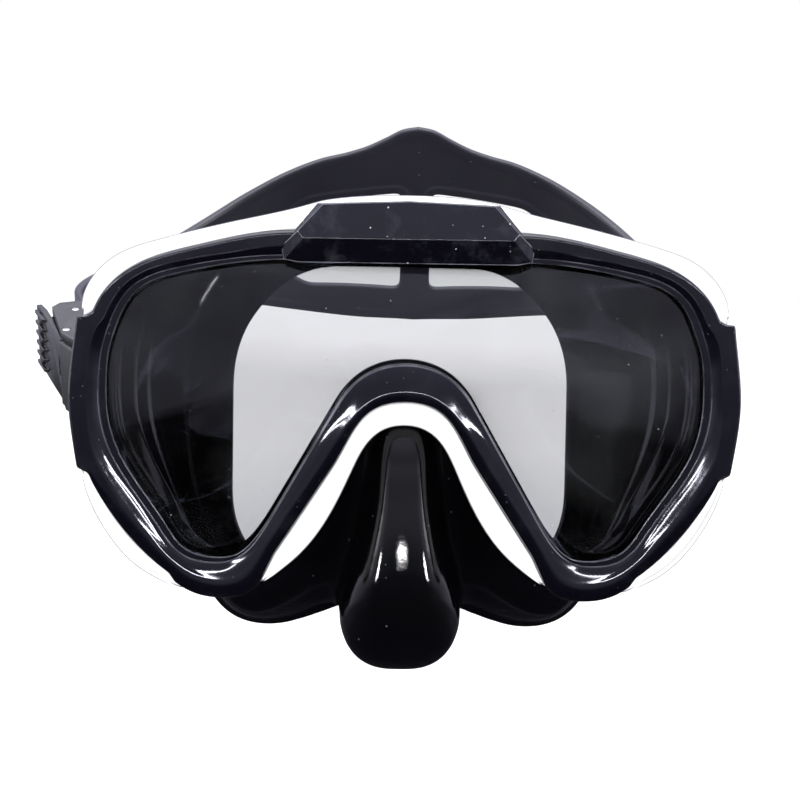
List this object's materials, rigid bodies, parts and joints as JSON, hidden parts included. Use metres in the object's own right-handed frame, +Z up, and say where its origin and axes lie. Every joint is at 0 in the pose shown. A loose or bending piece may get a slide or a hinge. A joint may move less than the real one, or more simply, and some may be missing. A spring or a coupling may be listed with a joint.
{
  "type": "diving mask",
  "caption": "Single-lens diving mask: black bezel, white rear frame, silicone skirt with nose pocket, and a split head strap on swivelling quick-release buckles.",
  "frame": {"origin": "middle of the straight line through the two side axles that the strap swings about, on the mask's middle plane", "axes": "+X is the right of someone looking at the front of the mask, +Y runs back towards the face, +Z is up"},
  "size_m": [0.1916, 0.1517, 0.1534],
  "materials": {
    "black_shell": "gloss black with a faint navy tint",
    "white_shell": "gloss white",
    "tempered_glass": "clear",
    "black_silicone": "polished silicone",
    "strap_silicone": "satin silicone",
    "buckle_plastic": "fine satin",
    "buckle_gloss": "gloss",
    "steel": "bright stainless"
  },
  "bodies": {
    "mask": {"lens": "tempered_glass", "bezel": "black_shell", "rear_frame": "white_shell", "bridge_clip": "black_shell", "skirt": "black_silicone", "left_swivel_axle": "buckle_plastic", "right_swivel_axle": "buckle_plastic"},
    "strap": {"head_strap": "strap_silicone", "left_swivel_bracket": "buckle_plastic", "right_swivel_bracket": "buckle_plastic", "left_hinge_pin": "steel", "right_hinge_pin": "steel"},
    "left_buckle": {"left_buckle_frame": "buckle_plastic", "left_buckle_cover": "buckle_gloss", "left_roller_pin": "steel", "left_lever_pin": "steel", "left_lever_spring": "steel", "left_strap_tongue": "strap_silicone"},
    "left_lever": {"left_release_lever": "buckle_plastic"},
    "left_roller": {"left_roller": "buckle_plastic"},
    "right_buckle": {"right_buckle_frame": "buckle_plastic", "right_buckle_cover": "buckle_gloss", "right_roller_pin": "steel", "right_lever_pin": "steel", "right_lever_spring": "steel", "right_strap_tongue": "strap_silicone"},
    "right_lever": {"right_release_lever": "buckle_plastic"},
    "right_roller": {"right_roller": "buckle_plastic"}
  },
  "joints": [
    {"name": "strap_swing", "type": "hinge", "parent": "mask", "child": "strap", "pos_m": [0, 0, 0], "axis": [1, 0, 0], "range_deg": [-80, 45]},
    {"name": "left_buckle_fold", "type": "hinge", "parent": "strap", "child": "left_buckle", "pos_m": [-0.083, 0.01307, 0.00502], "axis": [0, -0.3584, 0.9336], "range_deg": [-30, 14]},
    {"name": "left_lever_release", "type": "hinge", "parent": "left_buckle", "child": "left_lever", "pos_m": [-0.09044, 0.02024, 0.00777], "axis": [0, -0.3584, 0.9336], "range_deg": [0, 15], "stiffness_Nm_per_rad": 0.02, "springref_deg": -11.46},
    {"name": "left_roller_turn", "type": "hinge", "parent": "left_buckle", "child": "left_roller", "pos_m": [-0.08982, 0.03358, 0.01289], "axis": [0, -0.3584, 0.9336], "continuous": true},
    {"name": "right_buckle_fold", "type": "hinge", "parent": "strap", "child": "right_buckle", "pos_m": [0.083, 0.01307, 0.00502], "axis": [0, 0.3584, -0.9336], "range_deg": [-8, 36]},
    {"name": "right_lever_release", "type": "hinge", "parent": "right_buckle", "child": "right_lever", "pos_m": [0.08632, 0.02256, 0.00866], "axis": [0, 0.3584, -0.9336], "range_deg": [0, 15], "stiffness_Nm_per_rad": 0.02, "springref_deg": -11.46},
    {"name": "right_roller_turn", "type": "hinge", "parent": "right_buckle", "child": "right_roller", "pos_m": [0.0795, 0.03429, 0.01316], "axis": [0, 0.3584, -0.9336], "continuous": true}
  ]
}
